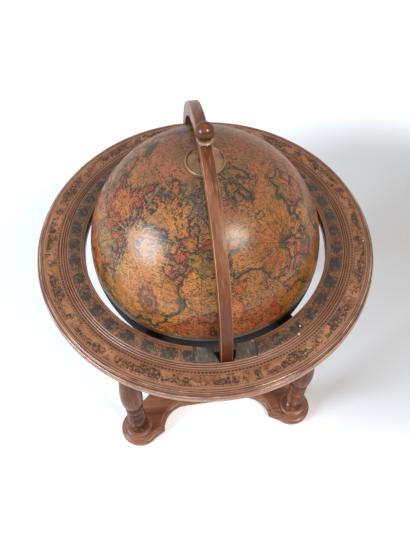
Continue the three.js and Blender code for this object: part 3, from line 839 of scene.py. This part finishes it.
def scene_share(g, turn, radius, ridge, wobble, strokes, blot):
    """The outer band's small hilly vignettes, with a coin between each two."""
    across = round_slots(g, turn, scene_count, 0.35)[0]
    tall = g.math("MULTIPLY_ADD", g.times(across, across), -2.1, 1.25)
    tall = g.plus(tall, g.times(g.minus(ridge, 0.5), 5.0))
    level = g.math("DIVIDE", g.minus(radius, scene_radius), scene_half_height)
    depth = g.minus(tall, g.minus(0.66, level))
    hills = g.times(g.step(depth, -0.05, 0.12), g.fade(level, 0.62, 0.74), g.most(strokes, blot))
    across = round_slots(g, turn, scene_count, 0.85)[0]
    coin = g.reach(g.times(across, pi * scene_radius / scene_count), g.minus(radius, scene_radius))
    coin = g.plus(coin, g.times(wobble, 9))
    return g.most(hills, g.times(g.fade(coin, 5.5, 7.0), blot))


def chipped_share(g, x, y, sway):
    """The places where the print is chipped to the pale wood."""
    shares = []
    for radius, degrees in chips:
        middle = Vector((*around(radius, radians(degrees)), 0)) * METRE
        away = g.length(g.vector("SUBTRACT", g.join(x, y, 0.0), middle))
        away = g.plus(away, g.times(sway, chip_sway * METRE))
        shares.append(g.fade(away, *(size * METRE for size in chip_sizes)))
    return g.most(*shares)


def printed_ring():
    """The ring's top: printed bands with generic vignettes between reeds, scales and borders."""
    g = Finish("printed wood")
    x, y, z = g.split(g.place)
    radius = g.times(g.reach(x, y), 1 / METRE)
    angle = g.math("ARCTAN2", y, x)
    turn = g.math("DIVIDE", angle, 2 * pi)
    cosine, sine = g.math("COSINE", angle), g.math("SINE", angle)
    round_place = g.join(cosine, sine, g.times(radius, 0.0042))

    grain = g.join(g.times(cosine, 0.25), g.times(sine, 0.25), g.times(radius, 0.004))
    grain = g.noise(grain, 70, 4, 0.6, 0.2)
    g.colour = g.tint((128, 84, 62), (156, 110, 86), g.noise(g.place, 9, 3, 0.55), 0.35, 0.65)
    g.stain((176, 130, 104), grain, 0.5, 0.75, 0.7)
    g.stain((84, 50, 36), grain, 0.48, 0.28, 0.6)

    warp = g.noise(round_place, 24, 4, 0.6, output="Color")
    warped = g.bend(round_place, warp, 0.05)
    wobble, sway = (g.minus(part, 0.5) for part in g.split(warp)[:2])
    texture = g.noise(warped, 62, 4, 0.65)
    strokes = ink_strokes(g, warped, 46, 0.025, 0.07)
    ground = g.noise(round_place, 12, 4, 0.6)
    inner = band_share(g, radius, inner_band, band_soft)
    outer = band_share(g, radius, outer_band, band_soft)
    g.lay(inner, g.tint((118, 76, 50), (158, 108, 72), ground, 0.35, 0.65))
    g.lay(outer, g.tint((158, 103, 68), (190, 134, 97), ground, 0.35, 0.65))

    medal, number = medal_share(g, turn, radius, g.minus(texture, 0.5), wobble)
    tone = g.noise(g.join(number, 7.5, 1.5), 0.61, 1, 0.5)
    inner_ink = g.tint((46, 40, 43), (60, 47, 39), tone, 0.4, 0.6)
    inner_ink = g.tint(inner_ink, (118, 92, 72), g.noise(warped, 38, 3, 0.6), 0.48, 0.62)
    g.lay(g.times(medal, inner, 0.95), inner_ink)
    g.lay(g.times(strokes, inner, 0.9), (48, 36, 30))

    ridge = g.noise(warped, 7.5, 4, 0.66)
    scene = scene_share(g, turn, radius, ridge, wobble, strokes, g.step(texture, 0.45, 0.54))
    stray = g.step(g.math("MULTIPLY_ADD", sway, 0.3, g.noise(warped, 19, 3, 0.6)), 0.46, 0.54)
    figure = g.most(scene, g.times(stray, strokes))
    outer_ink = g.tint((42, 36, 38), (54, 40, 32), ridge, 0.4, 0.6)
    g.lay(g.times(figure, outer, 0.94), outer_ink)

    for at, width, line_colour, strength in ring_lines:
        line = g.fade(g.away(radius, at), width * 0.6, width * 1.3, strength)
        g.lay(line, line_colour)
    reeded = band_share(g, radius, reed_band, band_soft)
    # painted shade in the reed valleys and painted highlights on the reed crests
    shaded_valleys = line_share(g, g.minus(radius, reed_start + reed_pitch / 2), reed_pitch, 0.5, 2.0)
    g.lay(g.times(shaded_valleys, reeded, 0.6), (62, 36, 26))
    highlight_crests = line_share(g, g.minus(radius, reed_start), reed_pitch, 0.35, 2.0)
    g.lay(g.times(highlight_crests, reeded, 0.55), (184, 134, 106))
    dots = line_share(g, turn, 1 / dot_count, dot_share / dot_count, 1.5)
    dots = g.times(dots, band_share(g, radius, dot_band, dot_soft), 0.85)
    g.lay(dots, (50, 36, 28))
    bare = chipped_share(g, x, y, sway)
    g.lay(bare, (232, 208, 176))
    g.set("Base Color", g.colour)
    g.set("Roughness", g.step(g.noise(g.place, 20, 5, 0.6), 0.3, 0.7, 0.36, 0.5))
    g.set("Specular IOR Level", 0.25)
    g.varnish(*ring_varnish)
    g.set("Normal", g.bump(g.minus(grain, bare), 0.12, 0.0006))
    return g.material


map_print = printed_map()
ring_print = printed_ring()

# Base board: lobed outline with a rounded lower bead, a cove and a raised top, as sections of (growth, level)

corner_angles = [radians(-135 + 90 * index) for index in range(4)]
board_sections = [
    (-3.2, 5.0), (-1.2, 5.5), (-0.2, 7.0), (0, 9.5), (0, 13.5), (-0.5, 16.2), (-1.8, 18.4), (-3.8, 19.7),
    (-5.6, 20.0), (-6.4, 20.6), (-7.0, 22.0), (-7.0, 25.4), (-7.5, 27.3), (-8.7, 28.6), (-10.4, 29.0),
]


def lobe_outline(grow):
    half_neck = neck_half_width + grow
    lobe = lobe_radius + grow
    fillet = neck_fillet - grow
    offset = half_neck + fillet
    rise = acos((offset - corner_half_width - grow) / fillet)
    start = -pi / 4
    sweep = [start + (rise - start) * step / fillet_steps for step in range(fillet_steps + 1)]
    points = [(neck_circle + fillet * sin(a), -offset + fillet * cos(a)) for a in sweep]
    for step in range(lobe_steps + 1):
        x, y = around(lobe, -pi / 2 + pi * step / lobe_steps)
        points.append((lobe_circle + x, y))
    points += [(neck_circle + fillet * sin(a), offset - fillet * cos(a)) for a in reversed(sweep)]
    return points


def board_mesh():
    points, rows = [], []
    for grow, level in board_sections:
        row = []
        for turn in corner_angles:
            for along, across in lobe_outline(grow):
                row.append(len(points))
                points.append((
                    along * cos(turn) - across * sin(turn),
                    along * sin(turn) + across * cos(turn),
                    level,
                ))
        rows.append(row)
    return points, lofted_faces(rows)


board = make_piece("board_fine", board_mesh(), "stand", board_wood, flat_sharp)
cut(board, [
    rod_mesh(tenon_radius + seat_gap, board_top - tenon_length, board_top + overrun, around(leg_circle, turn))
    for turn in corner_angles
], flat_sharp)
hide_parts("base_board")

# Legs: the source's turned profile with rounded beads, as runs of (radius share, height share)

leg_runs = [
    [(1.24, 0.000), (1.29, 0.004), (1.29, 0.014), (1.22, 0.018)],
    [(0.86, 0.0215), (0.93, 0.027), (0.955, 0.037), (0.92, 0.047), (0.85, 0.054)],
    [(0.70, 0.060), (0.76, 0.070), (0.84, 0.092), (0.88, 0.120), (0.85, 0.152), (0.76, 0.176), (0.69, 0.186)],
    [(0.75, 0.191), (0.80, 0.202), (0.81, 0.217), (0.78, 0.234), (0.67, 0.246)],
    [(0.76, 0.252), (0.81, 0.262), (0.82, 0.276), (0.79, 0.291), (0.67, 0.304)],
    [(0.70, 0.309), (0.82, 0.328), (0.94, 0.358), (1.00, 0.410), (0.95, 0.470), (0.78, 0.570), (0.56, 0.690)],
    [(0.60, 0.698), (0.66, 0.706), (0.68, 0.715), (0.66, 0.724), (0.57, 0.732)],
    [(0.54, 0.738), (0.66, 0.772), (0.82, 0.830), (0.85, 0.856), (0.80, 0.884), (0.69, 0.906)],
    [(0.79, 0.911), (0.88, 0.918), (0.91, 0.926), (0.91, 0.990), (0.89, 0.998)],
]


def leg_profile():
    runs = [[(bulb_radius * r, leg_bottom + leg_length * h) for r, h in run] for run in leg_runs]
    low = leg_bottom - tenon_length + seat_gap
    high = leg_bottom + leg_length + tenon_length - seat_gap
    return (
        [(0, low), (tenon_radius, low), (tenon_radius, leg_bottom)]
        + joined_runs(runs)
        + [(tenon_radius, leg_bottom + leg_length), (tenon_radius, high), (0, high)]
    )


plate_share = 0.02
plate_top = leg_bottom + plate_share * leg_length

for index, turn in enumerate(corner_angles):
    leg_mesh = turned_mesh(leg_profile(), centre=around(leg_circle, turn))
    leg = make_piece(f"leg_fine_{index + 1}", leg_mesh, "stand", dark_wood)
    finish_faces(leg, (dark_wood, board_wood), lambda middle, normal: middle.z < plate_top)
    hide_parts(f"leg_{index + 1}")

# Ring: reeds and the moulded edge with finer curves, and the same notch, slot and sockets

edge_runs = [  # share of the edge's width from its start, share of its depth from the top
    [(0.00, 0.00), (0.04, 0.05), (0.10, 0.07)],
    [(0.12, 0.05), (0.22, 0.03), (0.36, 0.05), (0.48, 0.10), (0.53, 0.17), (0.55, 0.23)],
    [(0.60, 0.24), (0.76, 0.26), (0.92, 0.33), (1.00, 0.44), (0.97, 0.54), (0.88, 0.60)],
    [(0.86, 0.62), (0.95, 0.67), (1.00, 0.76), (0.97, 0.86), (0.90, 0.94), (0.82, 1.00)],
]
bore_bevel = 0.8
bore_round = 1.0
bore_corner = 0.3
notch_reach = -200
printed_slope = 0.3


def ring_profile():
    edge_start = ring_outer - edge_width
    line = [
        (ring_inner + bore_bevel, ring_bottom), (ring_inner, ring_bottom + bore_bevel),
        (ring_inner, ring_top - bore_round), (ring_inner + bore_corner, ring_top - bore_corner),
        (ring_inner + bore_round, ring_top),
    ]
    for index in range(reed_count):
        for step in range(reed_steps):
            share = step / reed_steps
            line.append((
                reed_start + (index + share) * reed_pitch,
                ring_top - reed_depth * sin(pi * share) ** 2,
            ))
    line.append((reed_start + reed_count * reed_pitch, ring_top))
    line += [
        (edge_start + edge_width * across, ring_top - edge_depth * down)
        for across, down in joined_runs(edge_runs)
    ]
    back = edge_start - edge_width
    line += [(back, ring_top - edge_depth), (back, ring_bottom)]
    return list(reversed(line))


ring = make_piece(
    "ring_fine", turned_mesh(ring_profile(), ring_segments), "stand", ring_print, ring_sharp)
notch_half = guide_far + seat_gap
slot_half = arch_width / 2 + slot_clearance
slot_back = -(arch_outer + slot_clearance)
below, above = ring_bottom - overrun, ring_top + overrun
cut(ring, [
    box_mesh((-half, back, below), (half, notch_reach, above))
    for half, back in ((notch_half, guide_back - seat_gap), (slot_half, slot_back))
] + [
    rod_mesh(tenon_radius + seat_gap, below, ring_bottom + tenon_length, around(leg_circle, turn))
    for turn in corner_angles
], ring_sharp)
printed_radius = ring_outer - edge_width
printed_level = ring_top - reed_depth - seat_gap
finish_faces(ring, (edge_wood, ring_print), lambda middle, normal: (
    normal.z > printed_slope and middle.z > printed_level and middle.xy.length < printed_radius))
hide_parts("horizon_ring")

# Guide blocks beside the foot of the arch

guide_soft = 1.2


def guide_mesh(side):
    toe, mouth, far = side * guide_toe, side * guide_mouth, side * guide_far
    outline = [(toe, guide_back), (far, guide_back)]
    for step in range(guide_steps + 1):
        x = far + (mouth - far) * step / guide_steps
        outline.append((x, -sqrt(ring_inner ** 2 - x * x)))
    if side < 0:
        outline.reverse()
    count = len(outline)
    points = [(x, y, z) for z in (ring_bottom, ring_top) for x, y in outline]
    return points, lofted_faces([range(count), range(count, 2 * count)])


for side, word in ((-1, "left"), (1, "right")):
    guide = make_piece(f"guide_fine_{word}", guide_mesh(side), "stand", sheen_streaked_guide_wood, flat_sharp)
    soften(guide, guide_soft)
    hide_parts(f"foot_guide_{word}")

# Arch: a bar with softened edges, from its heel over the pole to its foot

arch_soft = 1.6
highlight_slopes = (0.3, 0.96)


def arch_station(radius, share):
    """A place on the arch's curve, from its heel over the pole to the level of the globe's middle."""
    start = asin((arch_heel - globe_level) / radius)
    y, z = around(radius, start + (pi - start) * share)
    return Vector((y, globe_level + z))


def arch_mesh():
    stations = [
        (arch_station(arch_inner, step / arch_steps), arch_station(arch_outer, step / arch_steps))
        for step in range(arch_steps + 1)
    ]
    stations.append((Vector((-arch_inner, arch_toe)), Vector((-arch_outer, arch_toe))))
    half = arch_width / 2
    points, rows = [], []
    for inner, outer in stations:
        depth = (outer - inner).length
        out = (outer - inner) / depth
        row = []
        for corner, (x_side, r_side) in enumerate(((1, 0), (1, 1), (-1, 1), (-1, 0))):
            centre_r = depth - arch_soft if r_side else arch_soft
            for step in range(corner_steps + 1):
                x, r = around(arch_soft, pi / 2 * (corner - 1 + step / corner_steps))
                place = inner + out * (centre_r + r)
                row.append(len(points))
                points.append((x_side * (half - arch_soft) + x, place[0], place[1]))
        rows.append(row)
    return points, [face[:1] + face[:0:-1] for face in lofted_faces(rows)]


arch = make_piece("arch_fine", arch_mesh(), "lid", red_wood, arch_sharp)
cut(arch, [
    rod_mesh(bolt_hole, globe_level + arch_inner - arch_overrun, globe_level + arch_outer + arch_overrun)
], arch_sharp)
# painted highlight along the arch's rounded side edges
finish_faces(arch, (red_wood, edge_highlight_wood), lambda middle, normal: (
    highlight_slopes[0] < abs(normal.x) < highlight_slopes[1] and abs(middle.x) > arch_width / 2 - arch_soft))
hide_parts("meridian_arch")

# Half globes

outer_rim = acos(rim_rise / globe_radius)
inner_globe = globe_radius - shell_wall
inner_rim = acos(rim_rise / inner_globe)
seat_radius = 16
seat_angle = asin(seat_radius / inner_globe)
seat_level = globe_level + inner_globe * cos(seat_angle)
dome_hole = asin(bolt_hole / globe_radius)

dome_profile = (
    [(bolt_hole, seat_level)]
    + arc(inner_globe, seat_angle, inner_rim, globe_rings)
    + arc(globe_radius, outer_rim, dome_hole, globe_rings)
)
dome = make_piece("dome_fine", turned_mesh(dome_profile, globe_segments), "dome", map_print)
globe_middle = Vector((0, 0, globe_level))
finish_faces(dome, (map_print, lining_wood), lambda middle, normal: (middle - globe_middle).dot(normal) < 0)
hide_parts("upper_dome")

bowl_profile = (
    arc(globe_radius, pi, pi - outer_rim, globe_rings)
    + arc(inner_globe, pi - inner_rim, pi, globe_rings)
)
# Both curves end on the axis itself
bowl_profile[0] = (0, bowl_profile[0][1])
bowl_profile[-1] = (0, bowl_profile[-1][1])
bowl = make_piece("bowl_fine", turned_mesh(bowl_profile, globe_segments), "stand", black_wood)
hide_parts("lower_bowl")

# Pole: disc with a raised rim, spacer, and the finial, with outlines as (radius, height) in millimetres

disc_radius = 31
disc_thickness = 3
rim_width = 3.2
rim_highlight_width = 1.9
disc_below = globe_radius + seat_gap
disc_above = disc_below + disc_thickness
disc_edge = globe_level + disc_below * cos(asin(disc_radius / disc_below))
rim_level = 657.7
rim_run = [  # out from the disc's edge, up from the rim's level
    (0, disc_edge - rim_level + 0.6), (-0.1, -1.5), (-0.5, -0.5), (-1.4, 0), (-2.3, -0.4), (-2.9, -1.1),
    (-rim_width, -1.6),
]


def disc_arc(radius, start, end, steps):
    return arc(radius, asin(start / radius), asin(end / radius), steps)


disc_profile = (
    disc_arc(disc_below, bolt_hole, disc_radius, disc_rings[0])
    + spline([(disc_radius + out, rim_level + up) for out, up in rim_run])
    + disc_arc(disc_above, disc_radius - rim_width, bolt_hole, disc_rings[1])
)
disc = make_piece("disc_fine", turned_mesh(disc_profile, disc_segments), "dome", bronze)
# the outer rim gets the paler bronze, as a painted highlight along it
finish_faces(disc, (bronze, rim_highlight_bronze), lambda middle, normal: middle.xy.length > disc_radius - rim_highlight_width)
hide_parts("pole_disc")

spacer_run = [(9.4, 658.0), (10, 659.0), (9.2, 664), (10, 668.9), (9.4, 669.9)]
spacer = make_piece("spacer_fine", turned_mesh(bored(spacer_run)), "lid", black_wood)
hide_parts("pole_spacer")

base_run = [
    (10.0, 694.3), (10.4, 695.0), (9.6, 696.0), (8.6, 696.6), (9.4, 697.5), (10.2, 698.3), (9.8, 698.9),
]
foot = make_piece("finial_foot_fine", turned_mesh(bored(base_run)), "lid", ball_wood)
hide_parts("finial_base")

collar_run = [
    (11.2, 699.2), (12.2, 699.5), (12.4, 700.0), (12.0, 700.5), (11.0, 700.9), (11.8, 701.3), (12.1, 701.9),
    (11.0, 702.6),
]
collar = make_piece(
    "finial_collar_fine", turned_mesh(bored(collar_run)), "lid", pale_bronze, collar_sharp)
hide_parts("finial_collar")

ball_low = 702.9
ball_lip = 1
ball_radius = 14.3
ball_neck = 7.5
bore_top = 715.2
ball_middle = ball_low + ball_lip + sqrt(ball_radius ** 2 - ball_neck ** 2)
ball_arc = arc(ball_radius, pi - asin(ball_neck / ball_radius), 0, ball_rings, ball_middle)
ball_profile = [(0, bore_top), (bolt_hole, bore_top), (bolt_hole, ball_low), (ball_neck, ball_low)] + ball_arc
ball = make_piece("finial_ball_fine", turned_mesh(ball_profile), "lid", ball_wood)
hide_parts("finial_ball")

# Bar insert: shelf and bottle well with softened edges

shelf_low, shelf_high = 397.4, 406.4
shelf_in, shelf_out = 86.3, 186.4
shelf_edge = [  # out from the shelf's edge, up from its top
    (0, shelf_low - shelf_high + 1), (0, -1.5), (-0.5, -0.5), (-1.5, 0),
]
shelf_profile = (
    [(shelf_in, shelf_low), (shelf_out, shelf_low)]
    + spline([(shelf_out + out, shelf_high + up) for out, up in shelf_edge])
    + [(shelf_in, shelf_high)]
)
shelf = make_piece("shelf_fine", turned_mesh(shelf_profile, globe_segments), "stand", shelf_wood)
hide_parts("glass_shelf")

well_profile = [
    (0, 288.7), (83, 288.7), (85.1, 289.6), (86, 291.7), (86, 406.7), (97.2, 406.7), (98, 407.7), (98, 409.1),
    (97.4, 410.2), (96.2, 410.7), (83.6, 410.7), (82.4, 410.2), (82, 409.1), (82, 295.7), (81.1, 293.6),
    (79, 292.7), (0, 292.7),
]
well = make_piece("well_fine", turned_mesh(well_profile, globe_segments), "stand", black_wood)
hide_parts("bottle_well")

# The CAD nodes that stay get their finish

finishes = {"steel": steel, "bronze": bronze, "black_wood": black_wood}
# the rest plate and its screws under the arch's slot get near-black steel, as painted shade seen through the
# slot
shade_dark_nodes = ("foot_rest_plate", "rest_plate_screw_1", "rest_plate_screw_2")
for row in frame["record"]["subparts"]:
    node = frame["nodes"][row["node"]]
    if node.hide_render:
        continue
    for slot in node.material_slots:
        slot.material = shade_dark_steel if row["node"] in shade_dark_nodes else finishes[row["material_slot"]]

# Floor, world and lamps, in metres and degrees

floor_half = 4.5
floor_tone = (0.83, 0.85, 0.90, 1)
floor_rough = 0.9
white_shares = (0.44, 0.7)
white_reach = (0.9, 1.6)
shadow_middle = (0.50, 0.20, 0)
shadow_reach = (0.36, 0.62)
sky_tone = (0.95, 0.97, 1.0, 1)
sky_light = 0.18
lamp_distance = 5
lamps = [  # name, azimuth from the front to the right, elevation, width in metres, level, colour
    ("window", -72, 24, 2.2, 1.06, (0.73, 0.86, 1.0)),
    ("warm lamp", 37, 47, 1.35, 0.58, (1.0, 0.90, 0.76)),
    ("ceiling", -10, 85, 3.0, 0.09, (1.0, 1.0, 1.0)),
]


def camera_white(g, shader, strength, output):
    """Adds plain white to a shader, for the camera and for mirrored or seen-through rays alone."""
    rays = g.node("LightPath").outputs
    seen = g.most(rays["Is Camera Ray"], rays["Is Glossy Ray"], rays["Is Transmission Ray"])
    glow = g.node("Emission", {"Strength": g.times(seen, strength)})
    both = g.node("AddShader", (shader, glow.outputs[0]))
    g.put(g.tree.nodes[output].inputs["Surface"], both.outputs[0])


def make_floor():
    """A pale floor that is seen as white, but less so where the shadow of the object falls."""
    half = floor_half / METRE
    corners = [(x * half, y * half, 0) for x, y in ((-1, -1), (1, -1), (1, 1), (-1, 1))]
    floor = add_object("floor", corners, [(0, 1, 2, 3)])
    g = Finish("floor white")
    g.set("Base Color", floor_tone)
    g.set("Roughness", floor_rough)
    strength = g.step(g.length(g.place), *white_reach, *white_shares)
    # painted shadow: the white glow is taken off the floor in a round zone where the object's shadow falls,
    # so the zone stays darker even where the lamps reach it
    beside = g.length(g.vector("SUBTRACT", g.place, shadow_middle))
    strength = g.times(strength, g.step(beside, *shadow_reach))
    camera_white(g, g.shader.outputs[0], strength, "Material Output")
    floor.data.materials.append(g.material)


make_floor()

world = bpy.data.worlds.new("studio")
bpy.context.scene.world = world
world.use_nodes = True
sky = world.node_tree.nodes["Background"]
sky.inputs["Color"].default_value = sky_tone
sky.inputs["Strength"].default_value = sky_light
camera_white(Graph(world.node_tree), sky.outputs[0], 1 - sky_light, "World Output")


def add_lamp(name, azimuth, elevation, width, level, colour):
    """A soft square lamp. Its level is how bright it makes a white face that is turned to it."""
    target = Vector((0, 0, globe_level * METRE))
    turn, rise = radians(azimuth), radians(elevation)
    away = Vector((sin(turn) * cos(rise), -cos(turn) * cos(rise), sin(rise)))
    data = bpy.data.lights.new(name, "AREA")
    data.size = width
    data.energy = level * (pi * lamp_distance) ** 2
    data.color = colour
    made = bpy.data.objects.new(name, data)
    made.location = target + away * lamp_distance
    made.rotation_euler = away.to_track_quat("Z", "Y").to_euler()
    bpy.context.collection.objects.link(made)


for row in lamps:
    add_lamp(*row)

# Camera

camera_data = bpy.data.cameras.new("camera")
camera_data.sensor_width = camera_sensor
camera_data.sensor_fit = "AUTO"
camera_data.lens = camera_lens
camera_data.clip_end = camera_reach
camera = bpy.data.objects.new("camera", camera_data)
axes = Matrix((camera_right, camera_up, camera_back)).transposed()
camera.matrix_world = Matrix.Translation(camera_place) @ axes.to_4x4()
bpy.context.collection.objects.link(camera)
bpy.context.scene.camera = camera
bpy.context.scene.view_settings.view_transform = "Standard"
